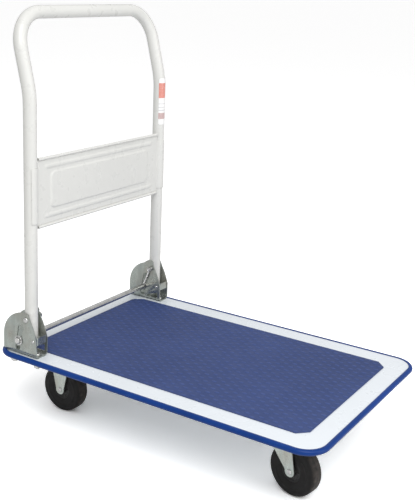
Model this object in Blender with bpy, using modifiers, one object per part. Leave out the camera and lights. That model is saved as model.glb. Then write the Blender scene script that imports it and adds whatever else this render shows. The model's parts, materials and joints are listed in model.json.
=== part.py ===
"""Folding platform trolley: a bumpered steel deck on four casters with a fold-down push handle.

World frame: metres, +Z up, floor at Z = 0, +X towards the front end (away from the handle),
+Y towards the left side. The origin is on the floor under the middle of the deck.
"""
import math

import bmesh
import bpy
from mathutils import Matrix, Vector

# ---- driving dimensions -------------------------------------------------------------------
DECK_LENGTH = 0.740          # over the bumper, along X
DECK_WIDTH = 0.480           # over the bumper, along Y
DECK_TOP = 0.150             # height of the sheet's upper face
CORNER_RADIUS = 0.048        # outside of the bumper
CORNER_STEPS = 8             # straight steps round each corner
DRILL_SIDES = 16
SHEET = 0.0015               # deck sheet thickness
GAP = 0.0003                 # clearance kept between neighbouring pieces

BUMPER_REACH = 0.0085        # visible width of the bumper on top
BUMPER_LIP = 0.0012          # thickness of the bumper above the sheet
BUMPER_HEIGHT = 0.0108
BUMPER_BITE = 0.0055         # how far the sheet enters the bumper

MAT_LENGTH = 0.640
MAT_WIDTH = 0.3746
MAT_CHAMFER = 0.0192
MAT_THICKNESS = 0.0020

CHANNEL_DEPTH = 0.0162       # cross channels and ribs below the sheet
CHANNEL_WALL = 0.0018
CHANNEL_WIDTH = 0.126
CHANNEL_LENGTH = 0.441
CHANNEL_FLANGE = 0.010
RIB_WIDTH = 0.050
RIB_Y = 0.110

TUBE_X = -0.2872             # axis of the upright handle tubes
TUBE_Y = 0.2121
TUBE_RADIUS = 0.01325
TUBE_WALL = 0.0014
PIVOT_RISE = 0.0785          # handle pivot above the deck
PIVOT_RADIUS = 0.0040
TUBE_END_RISE = 0.0362       # lower end of the tubes above the deck
KINK_RISE = 0.507            # where the tubes start to lean back
KINK_ANGLE = math.radians(14.0)
KINK_RADIUS = 0.180
TOP_RISE = 0.6805            # axis of the grip bar above the deck
TOP_CORNER_RADIUS = 0.068

PANEL_LOW = 0.2625           # panel edges above the deck
PANEL_HIGH = 0.4055
FLANGE_LOW = 0.2750          # side flanges of the panel
FLANGE_HIGH = 0.3880
PANEL_SHEET = 0.0012
PANEL_FORWARD = 0.0070       # front face ahead of the tube axis
PANEL_WRAP = math.radians(39.0)
HEM_RADIUS = 0.0032

LABEL_LOW = 0.425
LABEL_HIGH = 0.531
LABEL_WRAP = math.radians(58.0)

BRACKET_HALF = 0.0168        # outside of a bracket plate from the tube axis
BRACKET_SHEET = 0.0024
BRACKET_BEND = 0.0100        # outside radius of the bracket's folds
BRACKET_BACK = -0.3480
BRACKET_FRONT = -0.2595
BRACKET_ARC_X = -0.2925      # centre of the rounded back and top
BRACKET_ARC_RISE = 0.0365
BRACKET_BOLTS_X = (-0.3345, -0.2725)

WINDOW_BACK = -0.2965        # access window in the inner plates, below the strap
WINDOW_FRONT = -0.2655
WINDOW_LOW = 0.0080

STRAP_LOW = 0.029            # front stop strap above the deck
STRAP_HIGH = 0.045
STRAP_SHEET = 0.0016
STRAP_BACK = -0.2725
RIVET_X = -0.2685
RIVET_RISE = 0.0365

BAR_RADIUS = 0.0060          # lock bar
BAR_X = -0.3067
BAR_RISE = 0.0310
BAR_END = 0.2345
SLOT_HALF = 0.0065
SLOT_SLOPE = 0.1875          # run of the slot towards the back for each unit of drop
SLOT_TOP_RISE = 0.0590       # centres of the slot's two ends
SLOT_LOW_RISE = 0.0158

WHEEL_RADIUS = 0.050
WHEEL_WIDTH = 0.031
HUB_RADIUS = 0.021
HUB_WIDTH = 0.0328
AXLE_RADIUS = 0.0040
AXLE_HEAD_RADIUS = 0.0054
CASTER_Y = 0.125
RIGID_X = -0.2722
SWIVEL_X = 0.2448
SWIVEL_TRAIL = 0.035
SWIVEL_TURN = {"right": -9.8, "left": 168.0}   # degrees from trailing forwards
CASTER_PLATE = (0.100, 0.085, 0.003)
FORK_INNER = 0.0170
FORK_SHEET = 0.0025
FORK_TIP_RADIUS = 0.0102
KINGPIN_RADIUS = 0.0055

SPRING_RADIUS = 0.0022
SPRING_WIRE = 0.00045
SPRING_TURNS = 8
SPRING_INSET = 0.0033        # spring axis inside the bracket's inner face

PIVOT_Z = DECK_TOP + PIVOT_RISE
BAR_Z = DECK_TOP + BAR_RISE
CHANNEL_BOTTOM = DECK_TOP - SHEET - GAP - CHANNEL_DEPTH
CASTER_TOP = CHANNEL_BOTTOM - GAP

SIDES = {"right": -1, "left": 1}
FACING_Y = Matrix.Rotation(math.pi / 2, 4, "X")
FACING_X = Matrix.Rotation(math.pi / 2, 4, "Z") @ FACING_Y

# colour, metallic, roughness
MATERIALS = {
    "white_paint": ((0.65, 0.65, 0.625), 0.0, 0.35),
    "deck_paint": ((0.73, 0.77, 0.81), 0.0, 0.40),
    "blue_pvc": ((0.001, 0.033, 0.190), 0.0, 0.45),
    "blue_mat": ((0.038, 0.062, 0.176), 0.0, 0.70),
    "zinc": ((0.44, 0.48, 0.45), 0.9, 0.38),
    "steel": ((0.64, 0.64, 0.63), 0.9, 0.30),
    "rubber": ((0.0095, 0.009, 0.009), 0.0, 0.55),
    "hub_plastic": ((0.0095, 0.009, 0.009), 0.0, 0.45),
    "label": ((0.85, 0.85, 0.84), 0.0, 0.50),
}


# ---- scene helpers ------------------------------------------------------------------------
def clear_scene():
    for obj in list(bpy.data.objects):
        bpy.data.objects.remove(obj, do_unlink=True)


def new_collection(name):
    collection = bpy.data.collections.new(name)
    bpy.context.scene.collection.children.link(collection)
    return collection


def material_for(obj, slot):
    color, metallic, roughness = MATERIALS[slot]
    material = bpy.data.materials.new(f"{obj.name}_{slot}")
    material.use_nodes = True
    shader = material.node_tree.nodes["Principled BSDF"]
    shader.inputs["Base Color"].default_value = (*color, 1.0)
    shader.inputs["Metallic"].default_value = metallic
    shader.inputs["Roughness"].default_value = roughness
    obj.data.materials.clear()
    obj.data.materials.append(material)


def place(name, data, matrix, collection):
    obj = bpy.data.objects.new(name, data)
    obj.matrix_world = matrix
    collection.objects.link(obj)
    return obj


def finish(obj, slot):
    """Gives a finished piece its smooth shading and its own material."""
    if obj.type == "MESH":
        obj.data.shade_smooth()
        obj.data.set_sharp_from_angle(angle=math.radians(35))
    material_for(obj, slot)
    return obj


def as_mesh(curve_object):
    """Swaps a curve object for the closed mesh it evaluates to."""
    name = curve_object.name
    matrix = curve_object.matrix_world.copy()
    collection = curve_object.users_collection[0]
    graph = bpy.context.evaluated_depsgraph_get()
    graph.update()
    mesh = bpy.data.meshes.new_from_object(curve_object.evaluated_get(graph))
    bpy.data.objects.remove(curve_object, do_unlink=True)
    cage = bmesh.new()
    cage.from_mesh(mesh)
    bmesh.ops.remove_doubles(cage, verts=cage.verts, dist=1e-6)
    bmesh.ops.recalc_face_normals(cage, faces=cage.faces)
    cage.to_mesh(mesh)
    cage.free()
    return place(name, mesh, matrix, collection)


def slab(name, outline, thickness, matrix, collection, holes=()):
    """A flat outline, given thickness about its own plane, with optional inner outlines."""
    curve = bpy.data.curves.new(name, "CURVE")
    curve.dimensions = "2D"
    curve.fill_mode = "BOTH"
    curve.extrude = thickness / 2
    for points in (outline, *holes):
        spline = curve.splines.new("POLY")
        spline.points.add(len(points) - 1)
        for point, (x, y) in zip(spline.points, points):
            point.co = (x, y, 0.0, 1.0)
        spline.use_cyclic_u = True
    return as_mesh(place(name, curve, matrix, collection))


def wire(name, points, radius, resolution, collection):
    """A round bar along points, with closed ends."""
    curve = bpy.data.curves.new(name, "CURVE")
    curve.dimensions = "3D"
    curve.bevel_depth = radius
    curve.bevel_resolution = resolution
    curve.use_fill_caps = True
    spline = curve.splines.new("POLY")
    spline.points.add(len(points) - 1)
    for point, place_at in zip(spline.points, points):
        point.co = (*place_at, 1.0)
    return as_mesh(place(name, curve, Matrix.Identity(4), collection))


def closed_curve(name, outline, matrix, collection):
    curve = bpy.data.curves.new(name, "CURVE")
    curve.dimensions = "3D"
    curve.twist_mode = "Z_UP"
    spline = curve.splines.new("POLY")
    spline.points.add(len(outline) - 1)
    for point, (x, y) in zip(spline.points, outline):
        point.co = (x, y, 0.0, 1.0)
    spline.use_cyclic_u = True
    return place(name, curve, matrix, collection)


def sweep(name, section, path, matrix, collection, cutters):
    """A closed section, X outwards and Y up, swept round a closed anticlockwise path."""
    profile = guide(closed_curve(f"{name}_section", section, Matrix.Identity(4), cutters))
    rail = closed_curve(name, path, matrix, collection)
    rail.data.bevel_mode = "OBJECT"
    rail.data.bevel_object = profile
    return as_mesh(rail)


def turned(name, profile, matrix, collection, steps=40):
    """A profile of (radius, height) pairs, from top to bottom, turned about its Z axis."""
    mesh = bpy.data.meshes.new(name)
    edges = [(i, i + 1) for i in range(len(profile) - 1)]
    if profile[0][0] > 0:
        edges.append((len(profile) - 1, 0))
    mesh.from_pydata([(r, 0.0, z) for r, z in profile], edges, [])
    obj = place(name, mesh, matrix, collection)
    screw = obj.modifiers.new("turn", "SCREW")
    screw.axis = "Z"
    screw.steps = steps
    screw.render_steps = steps
    screw.use_merge_vertices = True
    screw.merge_threshold = 1e-6
    return obj


def boolean(obj, other, operation):
    modifier = obj.modifiers.new(operation.lower(), "BOOLEAN")
    modifier.operation = operation
    modifier.solver = "EXACT"
    modifier.object = other


def guide(obj):
    """Marks a cutter or a joined shape, which isn't a piece of its own."""
    obj.hide_render = True
    obj.display_type = "WIRE"
    return obj


def drill(name, radius, length, matrix, collection):
    bpy.ops.mesh.primitive_cylinder_add(vertices=DRILL_SIDES, radius=radius, depth=length)
    obj = bpy.context.object
    obj.name = name
    for old in list(obj.users_collection):
        old.objects.unlink(obj)
    collection.objects.link(obj)
    obj.matrix_world = matrix
    return guide(obj)


# ---- outlines -----------------------------------------------------------------------------
def arc(x, y, radius, start, end, count):
    """Points on an arc, from angle start to end in degrees."""
    points = []
    for i in range(count + 1):
        angle = math.radians(start + (end - start) * i / count)
        points.append((x + radius * math.cos(angle), y + radius * math.sin(angle)))
    return points


def rounded_rectangle(half_x, half_y, radius, count=8):
    points = []
    for quarter, (sx, sy) in enumerate(((1, 1), (-1, 1), (-1, -1), (1, -1))):
        x = sx * (half_x - radius)
        y = sy * (half_y - radius)
        points += arc(x, y, radius, 90 * quarter, 90 * quarter + 90, count)
    return points


def u_section(half, rise, sheet, bend, count=4):
    """A U of bent sheet: its base on the local X axis, its two walls up to rise."""
    inner = bend - sheet
    points = [(half, rise)]
    points += arc(half - bend, bend, bend, 0, -90, count)
    points += arc(-half + bend, bend, bend, -90, -180, count)
    points += [(-half, rise), (-half + sheet, rise)]
    points += arc(-half + bend, bend, inner, 180, 270, count)
    points += arc(half - bend, bend, inner, 270, 360, count)
    points += [(half - sheet, rise)]
    return points


def hat_section(half, depth, wall, flange):
    """A hat: flanges at the top, on the local X axis, and a flat web depth below them."""
    return [
        (-half - flange, 0), (-half - flange, -wall), (-half, -wall), (-half, -depth),
        (half, -depth), (half, -wall), (half + flange, -wall), (half + flange, 0),
        (half - wall, 0), (half - wall, wall - depth), (wall - half, wall - depth),
        (wall - half, 0),
    ]


def capsule(x0, y0, x1, y1, radius, count=8):
    """A slot's outline between two end centres."""
    lean = math.degrees(math.atan2(y1 - y0, x1 - x0))
    points = arc(x1, y1, radius, lean - 90, lean + 90, count)
    points += arc(x0, y0, radius, lean + 90, lean + 270, count)
    return points


def rim_cutter(name, low, high, cutters):
    """The room that the bumper takes between two heights, with a gap inside it."""
    inset = BUMPER_REACH + GAP
    inside = rounded_rectangle(DECK_LENGTH / 2 - inset, DECK_WIDTH / 2 - inset, CORNER_RADIUS - inset)
    outside = rounded_rectangle(DECK_LENGTH, DECK_WIDTH, CORNER_RADIUS)
    at = Matrix.Translation((0, 0, (low + high) / 2))
    return guide(slab(name, outside, high - low, at, cutters, [inside]))


# ---- deck ---------------------------------------------------------------------------------
def make_deck(parts):
    half_x = DECK_LENGTH / 2 - BUMPER_REACH + BUMPER_BITE
    half_y = DECK_WIDTH / 2 - BUMPER_REACH + BUMPER_BITE
    radius = CORNER_RADIUS - BUMPER_REACH + BUMPER_BITE
    outline = rounded_rectangle(half_x, half_y, radius)
    level = Matrix.Translation((0, 0, DECK_TOP - SHEET / 2))
    holes = [
        arc(x, side * TUBE_Y, 0.0044, 0, 337.5, 15)
        for x in BRACKET_BOLTS_X for side in SIDES.values()
    ]
    finish(slab("deck_plate", outline, SHEET, level, parts, holes), "deck_paint")

    half = (MAT_LENGTH / 2, MAT_WIDTH / 2)
    mat = []
    for sx, sy in ((1, 1), (-1, 1), (-1, -1), (1, -1)):
        corner = [
            (sx * half[0], sy * (half[1] - MAT_CHAMFER)),
            (sx * (half[0] - MAT_CHAMFER), sy * half[1]),
        ]
        mat += corner if sx * sy > 0 else corner[::-1]
    level = Matrix.Translation((0, 0, DECK_TOP + GAP + MAT_THICKNESS / 2))
    finish(slab("anti_slip_mat", mat, MAT_THICKNESS, level, parts), "blue_mat")


def make_bumper(parts, cutters):
    """A C-section strip, pushed over the edge of the sheet, swept round the whole deck."""
    top = BUMPER_LIP + GAP
    low = top - BUMPER_HEIGHT
    nose = BUMPER_HEIGHT / 2
    inner = -BUMPER_REACH
    bottom_of_groove = inner + BUMPER_BITE + GAP
    section = [(inner, top - 0.0004), (inner + 0.0006, top)]
    section += arc(-nose, top - nose, nose, 90, -90, 6)
    section += [(inner, low), (inner, -SHEET - GAP)]
    section += [(bottom_of_groove, -SHEET - GAP), (bottom_of_groove, GAP), (inner, GAP)]
    path = rounded_rectangle(DECK_LENGTH / 2, DECK_WIDTH / 2, CORNER_RADIUS, CORNER_STEPS)
    level = Matrix.Translation((0, 0, DECK_TOP))
    finish(sweep("edge_bumper", section, path, level, parts, cutters), "blue_pvc")


def make_underframe(parts, cutters):
    """Two cross channels that carry the casters, and two ribs between them."""
    level = DECK_TOP - SHEET - GAP
    half = CHANNEL_WIDTH / 2
    section = hat_section(half, CHANNEL_DEPTH, CHANNEL_WALL, CHANNEL_FLANGE)
    centres = {"rear": RIGID_X - 0.0155, "front": SWIVEL_X}
    for end, x in centres.items():
        across = Matrix.Translation((x, 0, level)) @ FACING_Y
        channel = slab(f"{end}_cross_channel", section, CHANNEL_LENGTH, across, parts)
        if end == "rear":
            relief = rim_cutter("channel_relief", DECK_TOP - 0.03, DECK_TOP, cutters)
            boolean(channel, relief, "DIFFERENCE")
            for bolt_x in BRACKET_BOLTS_X:
                for side, sign in SIDES.items():
                    at = Matrix.Translation((bolt_x, sign * TUBE_Y, DECK_TOP - 0.015))
                    hole = drill(f"channel_drill_{side}_{bolt_x}", 0.0044, 0.04, at, cutters)
                    boolean(channel, hole, "DIFFERENCE")
        finish(channel, "deck_paint")
    clear = half + CHANNEL_FLANGE + GAP
    start = centres["rear"] + clear
    length = centres["front"] - clear - start
    section = hat_section(RIB_WIDTH / 2, CHANNEL_DEPTH, CHANNEL_WALL, CHANNEL_FLANGE)
    for side, sign in SIDES.items():
        at = Matrix.Translation((start + length / 2, sign * RIB_Y, level)) @ FACING_X
        finish(slab(f"{side}_deck_rib", section, length, at, parts), "deck_paint")


# ---- brackets and their fasteners ---------------------------------------------------------
def bracket_arc(start, end, count):
    """Part of the rounded back and top that both plates share."""
    radius = BRACKET_ARC_X - BRACKET_BACK
    return arc(BRACKET_ARC_X, DECK_TOP + BRACKET_ARC_RISE, radius, start, end, count)


def bracket_outline():
    """Side view of a bracket plate in X and Z, with the ear of the inner plate."""
    z = DECK_TOP
    points = [(BRACKET_FRONT, z - 0.01), (BRACKET_FRONT, z + 0.0390), (-0.2648, z + 0.0545)]
    points += [(-0.2707, z + 0.0680), (-0.2770, z + 0.0800), (-0.2815, z + 0.0905)]
    points += arc(-0.2895, z + 0.0890, 0.0100, 30, 120, 5)
    points += bracket_arc(105, 180, 12)
    points += [(BRACKET_BACK, z - 0.01)]
    return points


def ear_outline():
    """What the outer plate lacks of the inner plate's ear."""
    top = DECK_TOP + 0.120
    return bracket_arc(106, 82, 5) + [(-0.2700, DECK_TOP + 0.0900), (-0.2700, top), (-0.3200, top)]


def window_outline():
    """The access window in an inner plate, in X and Z."""
    z = DECK_TOP
    return [
        (WINDOW_BACK, z + WINDOW_LOW), (WINDOW_FRONT, z + WINDOW_LOW),
        (WINDOW_FRONT, z + WINDOW_LOW + 0.0145), (WINDOW_BACK, z + WINDOW_LOW + 0.0045),
    ]


def bar_place(rise):
    """X of the lock bar's axis where it is rise above the deck."""
    return BAR_X + (rise - BAR_RISE) * SLOT_SLOPE


def make_brackets(parts, cutters):
    floor = DECK_TOP + GAP
    length = BRACKET_FRONT - BRACKET_BACK
    middle = (BRACKET_FRONT + BRACKET_BACK) / 2
    section = u_section(BRACKET_HALF, 0.100, BRACKET_SHEET, BRACKET_BEND)
    wide = 4 * BRACKET_HALF
    low = DECK_TOP + SLOT_LOW_RISE
    top = DECK_TOP + SLOT_TOP_RISE
    slot = capsule(bar_place(SLOT_LOW_RISE), low, bar_place(SLOT_TOP_RISE), top, SLOT_HALF)
    relief = rim_cutter("bracket_relief", DECK_TOP - 0.01, DECK_TOP + BUMPER_LIP + 2 * GAP, cutters)
    for side, sign in SIDES.items():
        y = sign * TUBE_Y
        at = Matrix.Translation((middle, y, floor)) @ FACING_X
        bracket = slab(f"{side}_bracket", section, length, at, parts)
        across = Matrix.Translation((0, y, 0)) @ FACING_Y
        outline = guide(slab(f"{side}_outline", bracket_outline(), wide, across, cutters))
        boolean(bracket, outline, "INTERSECT")
        boolean(bracket, relief, "DIFFERENCE")
        boolean(bracket, guide(slab(f"{side}_slot", slot, wide, across, cutters)), "DIFFERENCE")
        for cut, shape, way in (("ear", ear_outline(), 1), ("window", window_outline(), -1)):
            half = Matrix.Translation((0, y + sign * way * BRACKET_HALF, 0)) @ FACING_Y
            cutter = guide(slab(f"{side}_{cut}", shape, BRACKET_HALF, half, cutters))
            boolean(bracket, cutter, "DIFFERENCE")
        pin = Matrix.Translation((TUBE_X, y, PIVOT_Z)) @ FACING_Y
        boolean(bracket, drill(f"{side}_pin_drill", 0.0043, wide, pin, cutters), "DIFFERENCE")
        rivet = Matrix.Translation((RIVET_X, y, DECK_TOP + RIVET_RISE)) @ FACING_Y
        rivet_drill = drill(f"{side}_rivet_drill", 0.0023, wide, rivet, cutters)
        boolean(bracket, rivet_drill, "DIFFERENCE")
        for number, x in enumerate(BRACKET_BOLTS_X, 1):
            hole = Matrix.Translation((x, y, floor))
            bolt = drill(f"{side}_bolt_drill_{number}", 0.0044, 0.02, hole, cutters)
            boolean(bracket, bolt, "DIFFERENCE")
        finish(bracket, "zinc")
        make_strap(side, y, rivet_drill, parts)
        make_bracket_fasteners(side, sign, parts)


def make_strap(side, y, rivet_drill, parts):
    """The bent strap that closes a bracket's front and stops the tube."""
    half = BRACKET_HALF - BRACKET_SHEET - GAP
    front = BRACKET_FRONT - 0.0003
    section = u_section(half, front - STRAP_BACK, STRAP_SHEET, 0.0034)
    turn = Matrix.Rotation(math.pi / 2, 4, "Z")
    height = STRAP_HIGH - STRAP_LOW
    at = Matrix.Translation((front, y, DECK_TOP + STRAP_LOW + height / 2)) @ turn
    strap = slab(f"{side}_stop_strap", section, height, at, parts)
    boolean(strap, rivet_drill, "DIFFERENCE")
    finish(strap, "zinc")


def hex_profile(across_flats, thickness, name, matrix, collection, bore=0.0):
    outline = arc(0, 0, across_flats / math.sqrt(3), 0, 300, 5)
    holes = [arc(0, 0, bore, 0, 345, 23)] if bore else []
    return slab(name, outline, thickness, matrix, collection, holes)


def make_bracket_fasteners(side, sign, parts):
    y = sign * TUBE_Y
    seat = DECK_TOP + GAP + BRACKET_SHEET + GAP
    for number, x in enumerate(BRACKET_BOLTS_X, 1):
        end = CHANNEL_BOTTOM - 0.0095
        profile = [
            (0, seat + 0.0035), (0.0042, seat + 0.0032), (0.0063, seat + 0.0012),
            (0.0065, seat), (0.0040, seat), (0.0040, end + 0.0008), (0.0034, end), (0, end),
        ]
        down = Matrix.Translation((x, y, 0))
        bolt = turned(f"{side}_bracket_bolt_{number}", profile, down, parts, 16)
        finish(bolt, "steel")
        at = Matrix.Translation((x, y, CHANNEL_BOTTOM - GAP - 0.0034))
        nut = hex_profile(0.013, 0.0068, f"{side}_bracket_nut_{number}", at, parts, 0.0043)
        finish(nut, "steel")

    inside = Matrix.Translation((TUBE_X, y, PIVOT_Z)) @ Matrix.Rotation(-sign * math.pi / 2, 4, "X")
    face = BRACKET_HALF + GAP
    profile = [
        (0, face + 0.0032), (0.0032, face + 0.0030), (0.0056, face + 0.0012), (0.0058, face),
        (PIVOT_RADIUS, face), (PIVOT_RADIUS, -face - 0.0055), (0.0030, -face - 0.0055),
        (0.0030, -face - 0.0091), (0, -face - 0.0091),
    ]
    finish(turned(f"{side}_pivot_bolt", profile, inside, parts, 20), "steel")
    at = inside @ Matrix.Translation((0, 0, -face - 0.0073))
    finish(hex_profile(0.0100, 0.0026, f"{side}_pivot_nut", at, parts, 0.0033), "steel")

    for where, way in (("outer", 1), ("inner", -1)):
        turn = Matrix.Rotation(-sign * way * math.pi / 2, 4, "X")
        at = Matrix.Translation((RIVET_X, y, DECK_TOP + RIVET_RISE)) @ turn
        skin = BRACKET_HALF - BRACKET_SHEET - GAP - STRAP_SHEET - GAP
        profile = [
            (0, face + 0.0018), (0.0022, face + 0.0015), (0.0037, face),
            (0.0020, face), (0.0020, skin), (0.0034, skin), (0.0028, skin - 0.0009),
            (0, skin - 0.0009),
        ]
        finish(turned(f"{side}_{where}_strap_rivet", profile, at, parts, 12), "steel")


# ---- handle -------------------------------------------------------------------------------
def handle_path(below, corner_steps=8, kink_steps=4):
    """Centre line of the bent handle tube, from one lower end to the other."""
    rise = Vector((math.sin(-KINK_ANGLE), 0, math.cos(KINK_ANGLE)))
    side = [Vector((0, 0, TUBE_END_RISE - below))]
    for i in range(kink_steps + 1):
        angle = KINK_ANGLE * i / kink_steps
        x = -KINK_RADIUS * (1 - math.cos(angle))
        z = KINK_RISE + KINK_RADIUS * math.sin(angle)
        side.append(Vector((x, 0, z)))
    last = side[-1]
    run = (TOP_RISE - last.z) / rise.z
    centre = last + rise * (run - TOP_CORNER_RADIUS)
    for i in range(corner_steps + 1):
        angle = math.pi / 2 * i / corner_steps
        inward = TOP_CORNER_RADIUS * (1 - math.cos(angle))
        side.append(centre + rise * (TOP_CORNER_RADIUS * math.sin(angle)) + Vector((0, -inward, 0)))
    base = Vector((TUBE_X, TUBE_Y, DECK_TOP))
    left = [base + p for p in side]
    right = [Vector((p.x, -p.y, p.z)) for p in reversed(left)]
    return left + right


def make_handle(parts, cutters):
    tube = wire("handle_tube", handle_path(0.0), TUBE_RADIUS, 5, parts)
    bore = wire("tube_bore", handle_path(0.01), TUBE_RADIUS - TUBE_WALL, 3, cutters)
    boolean(tube, guide(bore), "DIFFERENCE")
    pin = Matrix.Translation((TUBE_X, 0, PIVOT_Z)) @ FACING_Y
    boolean(tube, drill("tube_pin_drill", 0.0044, 0.6, pin, cutters), "DIFFERENCE")
    finish(tube, "white_paint")
    make_panel(parts, cutters)

    radius = TUBE_RADIUS + GAP
    degrees = math.degrees(LABEL_WRAP)
    outline = arc(0, 0, radius + 0.0003, -degrees, degrees, 14)
    outline += arc(0, 0, radius, degrees, -degrees, 14)
    height = LABEL_HIGH - LABEL_LOW
    at = Matrix.Translation((TUBE_X, TUBE_Y, DECK_TOP + LABEL_LOW + height / 2))
    finish(slab("handle_label", outline, height, at, parts), "label")


def make_panel(parts, cutters):
    """A sheet across the tubes, wrapped round their fronts, with rolled top and bottom edges."""
    near = TUBE_RADIUS + GAP
    far = near + PANEL_SHEET
    wrap = -math.degrees(PANEL_WRAP)
    meet_far = math.degrees(math.acos(PANEL_FORWARD / far))
    meet_near = math.degrees(math.acos((PANEL_FORWARD - PANEL_SHEET) / near))
    outer = arc(0, -TUBE_Y, far, wrap, meet_far, 12)
    inner = arc(0, -TUBE_Y, near, meet_near, wrap, 12)
    outline = outer + [(x, -y) for x, y in reversed(outer)]
    outline += [(x, -y) for x, y in reversed(inner)] + inner
    height = FLANGE_HIGH - FLANGE_LOW
    at = Matrix.Translation((TUBE_X, 0, DECK_TOP + FLANGE_LOW + height / 2))
    panel = slab("handle_panel", outline, height, at, parts)
    across = TUBE_Y - TUBE_RADIUS - 0.0008
    tall = PANEL_HIGH - PANEL_LOW - HEM_RADIUS
    bpy.ops.mesh.primitive_cube_add(size=1.0)
    sheet = bpy.context.object
    sheet.name = "panel_sheet"
    for old in list(sheet.users_collection):
        old.objects.unlink(sheet)
    cutters.objects.link(sheet)
    middle = DECK_TOP + (PANEL_LOW + PANEL_HIGH) / 2
    face = TUBE_X + PANEL_FORWARD - PANEL_SHEET / 2
    size = Matrix.Diagonal((PANEL_SHEET, 2 * across, tall, 1))
    sheet.data.transform(size)
    sheet.matrix_world = Matrix.Translation((face, 0, middle))
    boolean(panel, guide(sheet), "UNION")
    for name, rise in (("low", PANEL_LOW + HEM_RADIUS), ("high", PANEL_HIGH - HEM_RADIUS)):
        z = DECK_TOP + rise
        points = [(face, -across, z), (face, across, z)]
        boolean(panel, guide(wire(f"hem_{name}", points, HEM_RADIUS, 3, cutters)), "UNION")
    finish(panel, "white_paint")


# ---- lock bar -----------------------------------------------------------------------------
def make_lock_bar(parts):
    ends = [(BAR_X, -BAR_END, BAR_Z), (BAR_X, BAR_END, BAR_Z)]
    finish(wire("lock_bar", ends, BAR_RADIUS, 5, parts), "steel")
    for side, sign in SIDES.items():
        at = Matrix.Translation((BAR_X, sign * (TUBE_Y + BRACKET_HALF + 0.0015), BAR_Z)) @ FACING_Y
        outline = arc(0, 0, 0.0100, 0, 345, 23)
        hole = arc(0, 0, BAR_RADIUS + GAP, 0, 345, 23)
        finish(slab(f"{side}_bar_clip", outline, 0.0014, at, parts, [hole]), "steel")
        make_spring(side, sign, parts)


def make_spring(side, sign, parts):
    """A tension spring, hooked over the pivot bolt's shank and under the lock bar."""
    y = sign * (TUBE_Y - BRACKET_HALF - SPRING_INSET)
    pin = Vector((TUBE_X, y, PIVOT_Z))
    bar = Vector((BAR_X, y, BAR_Z))
    along = (bar - pin).normalized()
    sideways = Vector((0, 1, 0))
    out = along.cross(sideways).normalized()
    clear = 2 * SPRING_WIRE
    pin_loop = PIVOT_RADIUS + clear
    bar_loop = BAR_RADIUS + clear + GAP
    start = pin + along * (pin_loop + clear)
    run = bar - along * (bar_loop + clear) - start
    points = []
    for degrees in range(300, -1, -30):
        angle = math.radians(degrees)
        points.append(pin + (along * math.cos(angle) + out * math.sin(angle)) * pin_loop)
    steps = 6
    for i in range(SPRING_TURNS * steps + 1):
        angle = 2 * math.pi * i / steps
        offset = out * math.cos(angle) + sideways * math.sin(angle)
        points.append(start + run * (i / (SPRING_TURNS * steps)) + offset * SPRING_RADIUS)
    for degrees in range(0, -301, -30):
        angle = math.radians(degrees)
        points.append(bar + (out * math.sin(angle) - along * math.cos(angle)) * bar_loop)
    finish(wire(f"{side}_lock_spring", points, SPRING_WIRE, 0, parts), "steel")


# ---- casters ------------------------------------------------------------------------------
def wheel_profile():
    half = WHEEL_WIDTH / 2
    shoulder = WHEEL_RADIUS - 0.0080
    points = [(HUB_RADIUS + GAP, half - 0.0010)]
    for degrees in (0, 30, 60, 90):
        angle = math.radians(degrees)
        points.append((shoulder + 0.0080 * math.sin(angle), half - 0.0070 * (1 - math.cos(angle))))
    mirrored = [(r, -z) for r, z in reversed(points)]
    return points + mirrored


def axle_place(base):
    return base @ Matrix.Translation((0, 0, WHEEL_RADIUS)) @ FACING_Y


def make_wheel(name, base, parts):
    """A wheel on the floor at the base's origin, with its axle along the base's Y axis."""
    at = axle_place(base)
    finish(turned(f"{name}_tyre", wheel_profile(), at, parts, 36), "rubber")
    half = HUB_WIDTH / 2
    bore = AXLE_RADIUS + GAP
    hub = [
        (bore, half), (0.0085, half), (0.0095, half - 0.0025), (HUB_RADIUS, half - 0.0035),
        (HUB_RADIUS, 0.0035 - half), (0.0095, 0.0025 - half), (0.0085, -half), (bore, -half),
    ]
    finish(turned(f"{name}_hub", hub, at, parts, 16), "hub_plastic")


def make_axle(name, base, parts):
    face = FORK_INNER + FORK_SHEET + GAP
    rim = face + 0.0018
    profile = [
        (0, rim), (0.0046, rim), (AXLE_HEAD_RADIUS, face), (AXLE_RADIUS, face),
        (AXLE_RADIUS, -face), (AXLE_HEAD_RADIUS, -face), (0.0046, -rim), (0, -rim),
    ]
    finish(turned(f"{name}_axle", profile, axle_place(base), parts, 16), "steel")


def tip():
    """Rounded lower end of a fork leg about its axle, from its +X side round to -X."""
    return arc(0, WHEEL_RADIUS, FORK_TIP_RADIUS, 10, -190, 12)


def make_legs(name, base, crown, outline, parts, cutters):
    """Two legs and their crown, folded from one strip and cut to the side outline, and a drill."""
    half = FORK_INNER + FORK_SHEET
    section = [(u, -v) for u, v in u_section(half, crown - 0.030, FORK_SHEET, 0.0060)]
    legs = slab(name, section, 0.140, base @ Matrix.Translation((0, 0, crown)) @ FACING_X, parts)
    side = guide(slab(f"{name}_side", outline, 0.08, base @ FACING_Y, cutters))
    boolean(legs, side, "INTERSECT")
    bore = drill(f"{name}_axle_drill", AXLE_RADIUS + GAP, 0.08, axle_place(base), cutters)
    return legs, bore


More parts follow.
